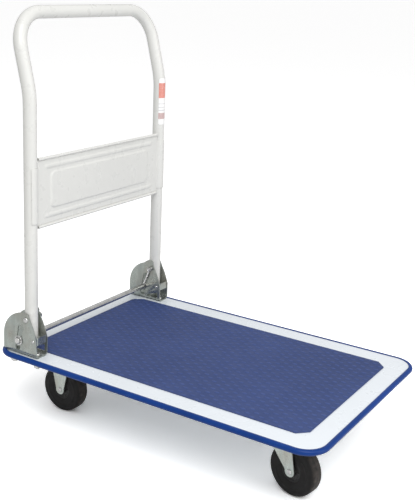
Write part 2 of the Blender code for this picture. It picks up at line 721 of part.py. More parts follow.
def make_rigid_caster(side, sign, parts, cutters):
    base = Matrix.Translation((RIGID_X, sign * CASTER_Y, 0))
    name = f"{side}_rigid_housing"
    crown = CASTER_TOP - 0.0005
    outline = tip() + [(-0.0315, CASTER_TOP + 0.01), (0.0315, CASTER_TOP + 0.01)]
    legs, bore = make_legs(name, base, crown, outline, parts, cutters)
    length, width, thickness = CASTER_PLATE
    plate = rounded_rectangle(length / 2, width / 2, 0.008, 4)
    at = base @ Matrix.Translation((0, 0, CASTER_TOP - thickness / 2))
    boolean(legs, guide(slab(f"{name}_plate", plate, thickness, at, cutters)), "UNION")
    boolean(legs, bore, "DIFFERENCE")
    finish(legs, "zinc")
    make_axle(f"{side}_rigid", base, parts)
    make_wheel(f"{side}_rear", base, parts)


def make_swivel_caster(side, sign, parts, cutters):
    head = Matrix.Translation((SWIVEL_X, sign * CASTER_Y, 0))
    turn = Matrix.Rotation(math.radians(SWIVEL_TURN[side]), 4, "Z")
    base = head @ turn @ Matrix.Translation((SWIVEL_TRAIL, 0, 0))
    length, width, thickness = CASTER_PLATE
    plate_low = CASTER_TOP - thickness
    bore = KINGPIN_RADIUS + GAP
    outline = rounded_rectangle(length / 2, width / 2, 0.008, 4)
    at = head @ Matrix.Translation((0, 0, CASTER_TOP - thickness / 2))
    hole = arc(0, 0, bore, 0, 345, 23)
    finish(slab(f"{side}_swivel_plate", outline, thickness, at, parts, [hole]), "zinc")

    cup_top = plate_low - GAP
    cup = [
        (bore, cup_top), (0.0250, cup_top), (0.0262, cup_top - 0.0012), (0.0262, cup_top - 0.0058),
        (0.0246, cup_top - 0.0058), (0.0240, cup_top - 0.0030), (bore, cup_top - 0.0030),
    ]
    finish(turned(f"{side}_bearing_cup", cup, head, parts, 24), "zinc")
    ring_top = cup_top - 0.0030 - GAP
    ring_low = ring_top - 0.0052
    ring = [(bore + 0.006, ring_top), (0.0232, ring_top), (0.0232, ring_low), (bore + 0.006, ring_low)]
    finish(turned(f"{side}_ball_race", ring, head, parts, 24), "steel")

    crown = ring_low - GAP
    back = -SWIVEL_TRAIL
    outline = tip() + [
        (back - 0.0150, 0.0970), (back - 0.0260, crown - 0.0060), (back - 0.0260, crown + 0.01),
        (0.0030, crown + 0.01), (0.0035, 0.090),
    ]
    fork, axle_bore = make_legs(f"{side}_swivel_fork", base, crown, outline, parts, cutters)
    boolean(fork, axle_bore, "DIFFERENCE")
    at = head @ Matrix.Translation((0, 0, crown))
    boolean(fork, drill(f"{side}_kingpin_drill", bore, 0.05, at, cutters), "DIFFERENCE")
    finish(fork, "zinc")

    seat = crown - FORK_SHEET - GAP
    kingpin = [
        (0, CASTER_TOP), (KINGPIN_RADIUS, CASTER_TOP), (KINGPIN_RADIUS, seat), (0.0095, seat),
        (0.0085, seat - 0.0040), (0, seat - 0.0052),
    ]
    finish(turned(f"{side}_kingpin", kingpin, head, parts, 20), "steel")
    make_axle(f"{side}_swivel", base, parts)
    make_wheel(f"{side}_front", base, parts)


def main():
    clear_scene()
    parts = new_collection("platform_trolley")
    cutters = new_collection("cutters")
    make_deck(parts)
    make_bumper(parts, cutters)
    make_underframe(parts, cutters)
    make_brackets(parts, cutters)
    make_handle(parts, cutters)
    make_lock_bar(parts)
    for side, sign in SIDES.items():
        make_rigid_caster(side, sign, parts, cutters)
        make_swivel_caster(side, sign, parts, cutters)


main()
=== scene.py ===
import json
import math

import bmesh
import bpy
from mathutils import Matrix, Vector, noise


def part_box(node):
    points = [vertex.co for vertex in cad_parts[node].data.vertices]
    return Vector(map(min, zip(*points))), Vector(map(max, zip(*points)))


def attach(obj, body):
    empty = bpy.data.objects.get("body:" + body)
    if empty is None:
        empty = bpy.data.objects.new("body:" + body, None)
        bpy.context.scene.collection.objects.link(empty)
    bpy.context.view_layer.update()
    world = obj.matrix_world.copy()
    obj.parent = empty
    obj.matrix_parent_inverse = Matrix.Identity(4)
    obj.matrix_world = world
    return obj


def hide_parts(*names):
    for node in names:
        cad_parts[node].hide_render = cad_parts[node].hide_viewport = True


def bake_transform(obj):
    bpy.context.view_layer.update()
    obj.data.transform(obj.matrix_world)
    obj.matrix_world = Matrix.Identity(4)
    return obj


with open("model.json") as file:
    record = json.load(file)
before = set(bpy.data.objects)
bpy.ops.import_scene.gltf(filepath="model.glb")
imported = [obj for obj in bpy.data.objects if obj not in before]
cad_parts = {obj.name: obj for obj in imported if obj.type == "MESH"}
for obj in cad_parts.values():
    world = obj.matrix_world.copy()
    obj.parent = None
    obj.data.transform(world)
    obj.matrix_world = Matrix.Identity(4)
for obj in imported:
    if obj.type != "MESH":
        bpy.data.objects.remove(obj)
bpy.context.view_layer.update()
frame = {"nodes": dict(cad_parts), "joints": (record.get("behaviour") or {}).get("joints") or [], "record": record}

# Looks of the folding platform trolley. Metres, +Z up, floor at Z = 0, +X towards the front end.
NODES = frame["nodes"]
JOINTS = {joint["name"]: joint for joint in frame["joints"]}
COLORS = {entry["slot"]: entry["base_color"][:3] for entry in frame["record"]["materials"]}
SLOTS = {entry["node"]: entry["material_slot"] for entry in frame["record"]["subparts"]}
SIDES = {"right": -1, "left": 1}
CORNERS = ((-1, -1), (-1, 1), (1, -1), (1, 1))
UP = Vector((0, 0, 1))
FACING_Y = Matrix.Rotation(math.pi / 2, 4, "X")

# ---- sizes that the pieces share with the CAD model ---------------------------------------
DECK_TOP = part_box("deck_plate")[1].z
DECK_SHEET = 0.0015
TUBE_X, _, PIVOT_Z = JOINTS["handle_fold"]["pos_m"]
TUBE_Y = 0.2121
TUBE_RADIUS = 0.01325
TUBE_WALL = 0.0014
TUBE_END = DECK_TOP + 0.0362
KINK_Z = DECK_TOP + 0.507
KINK_ANGLE = math.radians(14.0)
KINK_RADIUS = 0.180
GRIP_Z = DECK_TOP + 0.6805
GRIP_CORNER = 0.068
GAP = 0.0003                 # between pieces that touch
PIN_RADIUS = 0.0040
BRACKET_HALF = 0.0168        # outside of a bracket plate from the tube axis
BRACKET_SHEET = 0.0030
BAR_X = -0.3067
BAR_Z = DECK_TOP + 0.0310
BAR_RADIUS = 0.0060
RIVET_X = -0.2685
RIVET_Z = DECK_TOP + 0.0365
BOLTS_X = (-0.3345, -0.2725)
LABEL_LOW = DECK_TOP + 0.425
LABEL_HIGH = DECK_TOP + 0.531
PANEL_LOW = DECK_TOP + 0.2625
PANEL_HIGH = DECK_TOP + 0.4055
FLANGE_LOW = DECK_TOP + 0.2750
FLANGE_HIGH = DECK_TOP + 0.3880
PANEL_SHEET = 0.0012
PANEL_FRONT = TUBE_X + 0.0070
HEM_RADIUS = 0.0032
WHEEL_RADIUS = 0.050
WHEEL_HALF = 0.0155
HUB_RADIUS = 0.021
HUB_HALF = 0.0164
AXLE_RADIUS = 0.0040
AXLE_FACE = 0.0198           # seat of the axle heads from the wheel's middle
CASTER_BOLTS = (0.040, 0.030)
CASTER_Y = abs(JOINTS["left_rear_wheel_spin"]["pos_m"][1])
CASTER_PLATE = 0.0030
CASTER_NODES = ("_housing", "_fork", "_swivel_plate", "_bearing_cup")
SHARP = math.radians(32)


# ---- mesh helpers -------------------------------------------------------------------------
def as_object(name, solid, at=Matrix.Identity(4)):
    """An object of a bmesh, smooth but for its sharp edges."""
    bmesh.ops.recalc_face_normals(solid, faces=solid.faces)
    mesh = bpy.data.meshes.new(name)
    solid.to_mesh(mesh)
    solid.free()
    mesh.shade_smooth()
    mesh.set_sharp_from_angle(angle=SHARP)
    obj = bpy.data.objects.new(name, mesh)
    obj.matrix_world = at
    bpy.context.scene.collection.objects.link(obj)
    return obj


def arc(x, y, radius, start, end, count):
    """Points on an arc, from angle start to end in degrees."""
    points = []
    for i in range(count + 1):
        angle = math.radians(start + (end - start) * i / count)
        points.append((x + radius * math.cos(angle), y + radius * math.sin(angle)))
    return points


def turned(name, profile, at, steps=64):
    """A closed solid turned about the local Z axis.

    The profile is a list of (radius, height) from top to bottom, or gives that list for an angle.
    """
    solid = bmesh.new()
    columns = []
    poles = {}
    for i in range(steps):
        angle = 2 * math.pi * i / steps
        column = []
        for row, (radius, height) in enumerate(profile(angle) if callable(profile) else profile):
            if radius < 1e-6:
                if row not in poles:
                    poles[row] = solid.verts.new((0, 0, height))
                column.append(poles[row])
            else:
                spot = (radius * math.cos(angle), radius * math.sin(angle), height)
                column.append(solid.verts.new(spot))
        columns.append(column)
    rows = len(columns[0])
    ring = not poles
    for i in range(steps):
        here = columns[i]
        there = columns[(i + 1) % steps]
        for row in range(rows if ring else rows - 1):
            below = (row + 1) % rows
            corners = dict.fromkeys((here[row], here[below], there[below], there[row]))
            if len(corners) > 2:
                solid.faces.new(list(corners))
    return as_object(name, solid, at)


def skin(name, rings):
    """A closed surface through rings of points, with the first and last ring filled."""
    solid = bmesh.new()
    rows = [[solid.verts.new(point) for point in ring] for ring in rings]
    count = len(rows[0])
    for first, second in zip(rows, rows[1:]):
        for i in range(count):
            j = (i + 1) % count
            solid.faces.new((first[i], first[j], second[j], second[i]))
    solid.faces.new(rows[0])
    solid.faces.new(rows[-1])
    return as_object(name, solid)


def frames(path):
    """Each point of a path with two axes across it that don't twist."""
    result = []
    across = None
    for i, point in enumerate(path):
        along = (path[min(i + 1, len(path) - 1)] - path[max(i - 1, 0)]).normalized()
        if across is None:
            across = along.orthogonal()
        across = (across - along * across.dot(along)).normalized()
        result.append((point, across, along.cross(across), along))
    return result


def circle(point, across, other, radius, sides):
    """Points round a circle in the plane of two unit vectors."""
    turn = 2 * math.pi / sides
    return [
        point + across * (radius * math.cos(i * turn)) + other * (radius * math.sin(i * turn))
        for i in range(sides)
    ]


def rod(name, path, radius, sides=12, chamfer=0.0):
    """A round bar along a path, with chamfered ends."""
    rings = []
    stations = frames(path)
    for point, across, other, along in stations:
        rings.append(circle(point, across, other, radius, sides))
    if chamfer:
        for place, way in ((0, 1), (-1, -1)):
            point, across, other, along = stations[place]
            rings[place] = circle(point + along * way * chamfer, across, other, radius, sides)
            end = circle(point, across, other, radius - chamfer, sides)
            rings.insert(0 if way > 0 else len(rings), end)
    return skin(name, rings)


def plate(name, outline, thickness, at, holes=(), edge=0.0002):
    """A flat plate with softened edges: its outline and holes lie in the local XY plane."""
    curve = bpy.data.curves.new(name, "CURVE")
    curve.dimensions = "2D"
    curve.fill_mode = "BOTH"
    curve.extrude = thickness / 2 - edge
    curve.bevel_depth = edge
    curve.bevel_resolution = 1
    curve.offset = -edge
    for points in (outline, *holes):
        spline = curve.splines.new("POLY")
        spline.points.add(len(points) - 1)
        for point, (x, y) in zip(spline.points, points):
            point.co = (x, y, 0.0, 1.0)
        spline.use_cyclic_u = True
    flat = bpy.data.objects.new(f"{name}_curve", curve)
    bpy.context.scene.collection.objects.link(flat)
    graph = bpy.context.evaluated_depsgraph_get()
    mesh = bpy.data.meshes.new_from_object(flat.evaluated_get(graph))
    bpy.data.objects.remove(flat)
    solid = bmesh.new()
    solid.from_mesh(mesh)
    bpy.data.meshes.remove(mesh)
    bmesh.ops.remove_doubles(solid, verts=solid.verts, dist=1e-6)
    return as_object(name, solid, at)


def hexagon(flats, angle):
    """Distance from the centre of a hexagon to its side, at an angle."""
    return flats / 2 / math.cos((angle % (math.pi / 3)) - math.pi / 6)


def join(name, pieces):
    """One object made of several closed bodies that share a place."""
    solid = bmesh.new()
    for piece in pieces:
        piece.data.transform(piece.matrix_world)
        solid.from_mesh(piece.data)
        mesh = piece.data
        bpy.data.objects.remove(piece)
        bpy.data.meshes.remove(mesh)
    return as_object(name, solid)


def frame_of(point, axis):
    """A place whose local Z axis is axis and whose Y axis leans to +Z."""
    axis = Vector(axis).normalized()
    side = UP.cross(axis)
    side = side.normalized() if side.length > 1e-6 else Vector((1, 0, 0))
    turn = Matrix((side, axis.cross(side), axis)).transposed().to_4x4()
    return Matrix.Translation(point) @ turn


# ---- material helpers ---------------------------------------------------------------------
def add(tree, kind, sockets=None, **settings):
    """A shader node with its settings, and its sockets set or linked."""
    node = tree.nodes.new(f"ShaderNode{kind}")
    for key, value in settings.items():
        setattr(node, key, value)
    for key, value in (sockets or {}).items():
        if isinstance(value, bpy.types.NodeSocket):
            tree.links.new(value, node.inputs[key])
        else:
            node.inputs[key].default_value = value
    return node


def new_look(name, **sockets):
    """A material, its node tree and its shader with constant sockets set."""
    material = bpy.data.materials.new(name)
    material.use_nodes = True
    shader = material.node_tree.nodes["Principled BSDF"]
    for key, value in sockets.items():
        shader.inputs[key.replace("_", " ")].default_value = value
    return material, material.node_tree, shader


def place_of(tree, stretch=(1, 1, 1)):
    """The place on the object in metres, stretched along its axes."""
    spot = add(tree, "TexCoord").outputs["Object"]
    return add(tree, "Mapping", {"Vector": spot, "Scale": stretch}).outputs["Vector"]


def clouds(tree, scale, detail=3.0, stretch=(1, 1, 1)):
    """Noise from 0 to 1 at so many cells for each metre."""
    sockets = {"Vector": place_of(tree, stretch), "Scale": scale, "Detail": detail}
    return add(tree, "TexNoise", sockets).outputs["Fac"]


def span(tree, value, low, high, to_low=0.0, to_high=1.0):
    """A value's way from low to high, as a clamped way from to_low to to_high."""
    sockets = {"Value": value, "From Min": low, "From Max": high, "To Min": to_low, "To Max": to_high}
    return add(tree, "MapRange", sockets, clamp=True).outputs["Result"]


def times(tree, first, second):
    return add(tree, "Math", {0: first, 1: second}, operation="MULTIPLY").outputs["Value"]


def mixed(tree, factor, first, second):
    """A colour between two; each is a colour socket or three numbers."""
    sockets = {"Factor": factor}
    for key, value in ((6, first), (7, second)):
        sockets[key] = value if isinstance(value, bpy.types.NodeSocket) else (*value, 1.0)
    return add(tree, "Mix", sockets, data_type="RGBA").outputs[2]


def shade(color, factor):
    return tuple(min(1.0, channel * factor) for channel in color)


def relief(tree, shader, height, distance):
    """Bump on top of what the shader already has."""
    node = add(tree, "Bump", {"Height": height, "Distance": distance})
    links = shader.inputs["Normal"].links
    if links:
        tree.links.new(links[0].from_socket, node.inputs["Normal"])
    tree.links.new(node.outputs["Normal"], shader.inputs["Normal"])


def link(tree, shader, **sockets):
    for key, value in sockets.items():
        tree.links.new(value, shader.inputs[key.replace("_", " ")])


def height_of(tree):
    spot = add(tree, "TexCoord").outputs["Object"]
    return add(tree, "SeparateXYZ", {"Vector": spot}).outputs["Z"]


def edge_highlight_mask(tree, radius):
    """1 along convex and concave edges, 0 on flat faces."""
    soft = add(tree, "Bevel", {"Radius": radius}, samples=6).outputs["Normal"]
    hard = add(tree, "NewGeometry").outputs["Normal"]
    facing = add(tree, "VectorMath", {0: soft, 1: hard}, operation="DOT_PRODUCT").outputs["Value"]
    return span(tree, facing, 0.985, 0.80)


# ---- looks --------------------------------------------------------------------------------
def powder_coat():
    """Satin paint with faint scuffs, patchily darker towards the deck."""
    color = COLORS["white_paint"]
    look, tree, shader = new_look("white_powder_coat", Coat_Weight=0.25, Coat_Roughness=0.12)
    tone = mixed(tree, span(tree, clouds(tree, 6.0), 0.35, 0.65), shade(color, 0.975), color)
    patchy = span(tree, clouds(tree, 60.0, 6.0), 0.42, 0.62, 0.0, 0.30)
    # Patchily darker towards the deck, down to 0.62 of the paint colour.
    patchy_darkening_near_deck = times(tree, span(tree, height_of(tree), DECK_TOP + 0.16, DECK_TOP + 0.03), patchy)
    tone = mixed(tree, patchy_darkening_near_deck, tone, shade(color, 0.62))
    scuffs = span(tree, clouds(tree, 70.0, 8.0, (1, 1, 0.25)), 0.66, 0.84, 0.0, 0.05)
    tone = mixed(tree, scuffs, tone, (0.56, 0.55, 0.52))
    rough = span(tree, clouds(tree, 40.0, 5.0), 0.3, 0.7, 0.24, 0.36)
    link(tree, shader, Base_Color=tone, Roughness=rough)
    relief(tree, shader, clouds(tree, 700.0, 2.0), 0.00006)
    relief(tree, shader, clouds(tree, 45.0, 2.0), 0.00012)
    return look


def deck_paint():
    color = COLORS["deck_paint"]
    look, tree, shader = new_look("pale_deck_paint", Coat_Weight=0.35, Coat_Roughness=0.10)
    tone = mixed(tree, span(tree, clouds(tree, 4.0), 0.35, 0.65), shade(color, 0.97), color)
    streaks = span(tree, clouds(tree, 30.0, 8.0, (0.3, 1, 1)), 0.60, 0.78, 0.0, 0.10)
    tone = mixed(tree, streaks, tone, (0.60, 0.60, 0.58))
    rough = span(tree, clouds(tree, 25.0, 6.0), 0.3, 0.7, 0.22, 0.38)
    link(tree, shader, Base_Color=tone, Roughness=rough)
    relief(tree, shader, clouds(tree, 600.0, 2.0), 0.00007)
    return look


def bumper_vinyl():
    color = COLORS["blue_pvc"]
    look, tree, shader = new_look("blue_bumper_vinyl", Specular_IOR_Level=0.22)
    tone = mixed(tree, span(tree, clouds(tree, 9.0, 4.0), 0.3, 0.7), shade(color, 0.86), shade(color, 1.12))
    rubs = span(tree, clouds(tree, 55.0, 8.0, (0.4, 0.4, 1)), 0.64, 0.72, 0.0, 0.30)
    tone = mixed(tree, rubs, tone, (0.045, 0.100, 0.300))
    rough = span(tree, clouds(tree, 120.0, 5.0), 0.3, 0.7, 0.27, 0.42)
    link(tree, shader, Base_Color=tone, Roughness=rough)
    relief(tree, shader, clouds(tree, 5.0, 3.0, (1, 1, 260)), 0.00005)
    relief(tree, shader, clouds(tree, 900.0, 2.0), 0.00002)
    return look


def mat_rubber():
    """Dull rubber whose raised lozenge tops are painted paler, a painted highlight."""
    color = COLORS["blue_mat"]
    look, tree, shader = new_look("blue_mat_rubber", Specular_IOR_Level=0.24)
    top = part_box("anti_slip_mat")[1].z
    raised = span(tree, height_of(tree), top - 0.00055, top - 0.0001)
    tone = mixed(tree, span(tree, clouds(tree, 5.0, 5.0), 0.3, 0.7), shade(color, 0.86), shade(color, 1.08))
    patchy = span(tree, clouds(tree, 30.0), 0.3, 0.7, 0.45, 0.8)
    # Painted highlight: the raised lozenge tops are painted paler than the sheet.
    tone = mixed(tree, times(tree, raised, patchy), tone, shade(color, 1.45))
    speck = span(tree, clouds(tree, 420.0, 6.0), 0.55, 0.75, 0.0, 0.25)
    tone = mixed(tree, speck, tone, shade(color, 0.55))
    rough = span(tree, clouds(tree, 70.0, 6.0), 0.3, 0.7, 0.48, 0.66)
    link(tree, shader, Base_Color=tone, Roughness=rough)
    relief(tree, shader, clouds(tree, 1100.0, 4.0), 0.00012)
    return look


def zinc_plate(name, brightness):
    """Pressed steel with a drawn grain along Z, a faint brown passivation and edges painted paler as a painted
    highlight.
    """
    color = shade(COLORS["zinc"], brightness)
    look, tree, shader = new_look(name, Metallic=0.88)
    spangle = add(tree, "TexVoronoi", {"Vector": place_of(tree), "Scale": 190.0}).outputs["Color"]
    spangle = add(tree, "SeparateXYZ", {"Vector": spangle}).outputs["X"]
    tone = mixed(tree, span(tree, spangle, 0.0, 1.0, 0.0, 0.5), shade(color, 0.92), shade(color, 1.10))
    tint = span(tree, clouds(tree, 22.0, 5.0), 0.42, 0.68, 0.0, 0.55)
    tone = mixed(tree, tint, tone, shade((0.300, 0.262, 0.215), brightness))
    drawn = span(tree, clouds(tree, 160.0, 5.0, (1, 1, 0.06)), 0.42, 0.66, 0.0, 0.38)
    tone = mixed(tree, drawn, tone, shade(color, 0.66))
    # Painted highlight: convex and concave edges painted paler.
    tone = mixed(tree, times(tree, edge_highlight_mask(tree, 0.0007), 0.55), tone, (0.62, 0.62, 0.60))
    rough = span(tree, clouds(tree, 90.0, 5.0, (1, 1, 0.3)), 0.3, 0.7, 0.20, 0.38)
    link(tree, shader, Base_Color=tone, Roughness=rough)
    relief(tree, shader, clouds(tree, 420.0, 4.0, (1, 1, 0.12)), 0.00004)
    relief(tree, shader, spangle, 0.00001)
    return look


def bright_steel():
    color = COLORS["steel"]
    look, tree, shader = new_look("bright_steel", Metallic=0.95)
    cloudy = span(tree, clouds(tree, 60.0, 5.0), 0.35, 0.65)
    tone = mixed(tree, cloudy, shade(color, 0.84), shade(color, 1.10))
    spots = span(tree, clouds(tree, 240.0, 6.0), 0.60, 0.70, 0.0, 0.4)
    tone = mixed(tree, spots, tone, (0.30, 0.27, 0.23))
    rough = span(tree, clouds(tree, 150.0, 5.0), 0.3, 0.7, 0.16, 0.32)
    link(tree, shader, Base_Color=tone, Roughness=rough)
    relief(tree, shader, clouds(tree, 900.0, 4.0, (1, 0.1, 1)), 0.00002)
    return look


def tyre_rubber():
    """The wheels' own Z axis is their axle, so the tread is where the distance from it is largest."""
    color = COLORS["tyre"]
    look, tree, shader = new_look("tyre_rubber", Specular_IOR_Level=0.24)
    spot = add(tree, "TexCoord").outputs["Object"]
    flat = add(tree, "VectorMath", {0: spot, 1: (1, 1, 0)}, operation="MULTIPLY").outputs["Vector"]
    reach = add(tree, "VectorMath", {0: flat}, operation="LENGTH").outputs["Value"]
    patchy = span(tree, clouds(tree, 90.0, 7.0), 0.35, 0.68, 0.10, 0.75)
    # The tread is painted paler and browner: partly dust, partly a painted sheen.
    dust_and_sheen = times(tree, span(tree, reach, 0.0470, 0.0496), patchy)
    tone = mixed(tree, span(tree, clouds(tree, 35.0, 4.0), 0.3, 0.7), shade(color, 0.8), shade(color, 1.25))
    tone = mixed(tree, dust_and_sheen, tone, (0.062, 0.050, 0.043))
    rough = span(tree, clouds(tree, 130.0, 5.0), 0.3, 0.7, 0.46, 0.64)
    link(tree, shader, Base_Color=tone, Roughness=rough)
    relief(tree, shader, clouds(tree, 800.0, 4.0), 0.00008)
    return look


def hub_nylon():
    color = COLORS["hub_plastic"]
    look, tree, shader = new_look("hub_nylon")
    tone = mixed(tree, span(tree, clouds(tree, 50.0, 4.0), 0.3, 0.7), shade(color, 0.85), shade(color, 1.3))
    rough = span(tree, clouds(tree, 160.0, 4.0), 0.3, 0.7, 0.40, 0.56)
    link(tree, shader, Base_Color=tone, Roughness=rough)
    relief(tree, shader, clouds(tree, 1300.0, 2.0), 0.00003)
    return look


def sticker():
    """White film with plain printed blocks, each a band right across it."""
    color = COLORS["label"]
    look, tree, shader = new_look("label_film", Coat_Weight=0.3, Coat_Roughness=0.15)
    tone = mixed(tree, span(tree, clouds(tree, 80.0, 4.0), 0.3, 0.7), shade(color, 0.95), color)
    height = height_of(tree)
    red, brown, grey = (0.66, 0.22, 0.17), (0.52, 0.36, 0.35), (0.55, 0.55, 0.56)
    blocks = (
        (0.061, 0.0950, red), (0.013, 0.0270, brown), (0.032, 0.0340, grey), (0.039, 0.0405, grey),
        (0.047, 0.0485, grey),
    )
    faded = span(tree, clouds(tree, 300.0, 6.0), 0.25, 0.5, 0.72, 0.95)
    soft = 0.0002
    for low, high, ink in blocks:
        above = span(tree, height, LABEL_LOW + low - soft, LABEL_LOW + low + soft)
        below = span(tree, height, LABEL_LOW + high + soft, LABEL_LOW + high - soft)
        tone = mixed(tree, times(tree, times(tree, above, below), faded), tone, ink)
    rough = span(tree, clouds(tree, 110.0, 4.0), 0.3, 0.7, 0.30, 0.45)
    link(tree, shader, Base_Color=tone, Roughness=rough)
    relief(tree, shader, clouds(tree, 200.0, 3.0), 0.00003)
    return look


LOOKS = {
    "white_paint": powder_coat(),
    "deck_paint": deck_paint(),
    "blue_pvc": bumper_vinyl(),
    "blue_mat": mat_rubber(),
    "zinc": zinc_plate("zinc_plate", 1.0),
    # Painted reflection: a 1.35 times brighter copy of the zinc for the caster parts, standing in for the floor
    # they reflect.
    "zinc_painted_reflection": zinc_plate("zinc_plate_painted_reflection", 1.35),
    "steel": bright_steel(),
    "tyre": tyre_rubber(),
    "hub_plastic": hub_nylon(),
    "label": sticker(),
}


def show(obj, slot, body, *nodes):
    """Gives a piece its look and its body, and hides the CAD nodes that it stands for."""
    obj.data.materials.clear()
    obj.data.materials.append(LOOKS[slot])
    if body:
        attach(obj, body)
    if nodes:
        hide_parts(*nodes)


# ---- CAD nodes that stay ------------------------------------------------------------------
def smoothing_group():
    """Geometry nodes that mark every face as smooth."""
    group = bpy.data.node_groups.new("smooth_faces", "GeometryNodeTree")
    for way in ("INPUT", "OUTPUT"):
        group.interface.new_socket("Geometry", in_out=way, socket_type="NodeSocketGeometry")
    start = group.nodes.new("NodeGroupInput")
    smooth = group.nodes.new("GeometryNodeSetShadeSmooth")
    end = group.nodes.new("NodeGroupOutput")
    group.links.new(start.outputs[0], smooth.inputs[0])
    group.links.new(smooth.outputs[0], end.inputs[0])
    return group


def dress(node, group, width):
    """The look of a CAD node, with its hard edges rounded by modifiers."""
    obj = NODES[node]
    obj.data.materials.clear()
    # Caster housings, forks, swivel plates and bearing cups get the brighter zinc copy, a painted reflection.
    obj.data.materials.append(LOOKS["zinc_painted_reflection" if node.endswith(CASTER_NODES) else SLOTS[node]])
    weld = obj.modifiers.new("weld", "WELD")
    weld.merge_threshold = 0.000001
    flat = obj.modifiers.new("flat", "DECIMATE")
    flat.decimate_type = "DISSOLVE"
    flat.angle_limit = math.radians(0.5)
    bevel = obj.modifiers.new("edges", "BEVEL")
    bevel.width = width
    bevel.segments = 2
    bevel.limit_method = "ANGLE"
    bevel.angle_limit = math.radians(40)
    smooth = obj.modifiers.new("smooth", "NODES")
    smooth.node_group = group
    obj.modifiers.new("weighted", "WEIGHTED_NORMAL")


def dress_frame():
    group = smoothing_group()
    widths = {"deck_plate": 0.0003, "rear_cross_channel": 0.0006, "front_cross_channel": 0.0006}
    for node, obj in NODES.items():
        if not obj.hide_render:
            dress(node, group, widths.get(node, 0.0004))


# ---- handle -------------------------------------------------------------------------------
def handle_line():
    """Centre line of the bent tube from the right lower end to the left one."""
    kink_steps = 12
    corner_steps = 24
    rise = Vector((-math.sin(KINK_ANGLE), 0, math.cos(KINK_ANGLE)))
    heights = (TUBE_END, PIVOT_Z - 0.008, PIVOT_Z + 0.008, PIVOT_Z + 0.030)
    side = [Vector((TUBE_X, TUBE_Y, z)) for z in heights]
    for i in range(kink_steps + 1):
        angle = KINK_ANGLE * i / kink_steps
        x = TUBE_X - KINK_RADIUS * (1 - math.cos(angle))
        side.append(Vector((x, TUBE_Y, KINK_Z + KINK_RADIUS * math.sin(angle))))
    run = (GRIP_Z - side[-1].z) / rise.z
    centre = side[-1] + rise * (run - GRIP_CORNER)
    for i in range(corner_steps + 1):
        angle = math.pi / 2 * i / corner_steps
        inward = Vector((0, -GRIP_CORNER * (1 - math.cos(angle)), 0))
        side.append(centre + rise * (GRIP_CORNER * math.sin(angle)) + inward)
    return [Vector((p.x, -p.y, p.z)) for p in side] + side[::-1]


def make_tube():
    """The bent tube, hollow at its lower ends, with holes for the pivot bolts."""
    sides = 40
    depth = 0.060
    lip = 0.0004
    stations = frames(handle_line())
    rings = [circle(p, a, b, TUBE_RADIUS, sides) for p, a, b, along in stations]
    for end, way in ((0, 1), (-1, -1)):
        point, across, other, along = stations[end]
        along = along * way
        inner = TUBE_RADIUS - TUBE_WALL
        mouth = [
            (point + along * lip, TUBE_RADIUS), (point, TUBE_RADIUS - lip), (point, inner + lip),
            (point + along * lip, inner), (point + along * depth, inner),
        ]
        rows = [circle(at, across, other, radius, sides) for at, radius in mouth]
        rings = rows[::-1] + rings[1:] if way > 0 else rings[:-1] + rows
    tube = skin("handle_tube_shell", rings)
    drill = rod("pivot_drill", [Vector((TUBE_X, y, PIVOT_Z)) for y in (-0.3, 0.3)], PIN_RADIUS + 0.0004, 24)
    cut = tube.modifiers.new("pivot_holes", "BOOLEAN")
    cut.object = drill
    cut.operation = "DIFFERENCE"
    graph = bpy.context.evaluated_depsgraph_get()
    mesh = bpy.data.meshes.new_from_object(tube.evaluated_get(graph))
    tube.modifiers.clear()
    tube.data = mesh
    bpy.data.objects.remove(drill)
    show(tube, "white_paint", "handle", "handle_tube")


def ease(value, low, high):
    """0 below low, 1 above high and a smooth step between them."""
    t = min(1.0, max(0.0, (value - low) / (high - low)))
    return t * t * (3 - 2 * t)


def panel_emboss(y, z):
    """How far the panel's pressed shape stands forward of its plane."""
    rise = z - DECK_TOP
    out = abs(y)
    ridge = 0.0
    for centre in (0.3850, 0.2850):
        across = 1 - ease(abs(rise - centre), 0.0016, 0.0052)
        ridge = max(ridge, across * (1 - ease(out, 0.170, 0.182)) * 0.0017)
    corner = 0.010
    half_y, half_z, middle = 0.161, 0.0372, 0.3357
    dy = out - (half_y - corner)
    dz = abs(rise - middle) - (half_z - corner)
    edge = math.hypot(max(dy, 0), max(dz, 0)) + min(max(dy, dz), 0) - corner
    plateau = (1 - ease(edge, -0.0024, 0.0012)) * 0.0020
    return max(ridge, plateau)


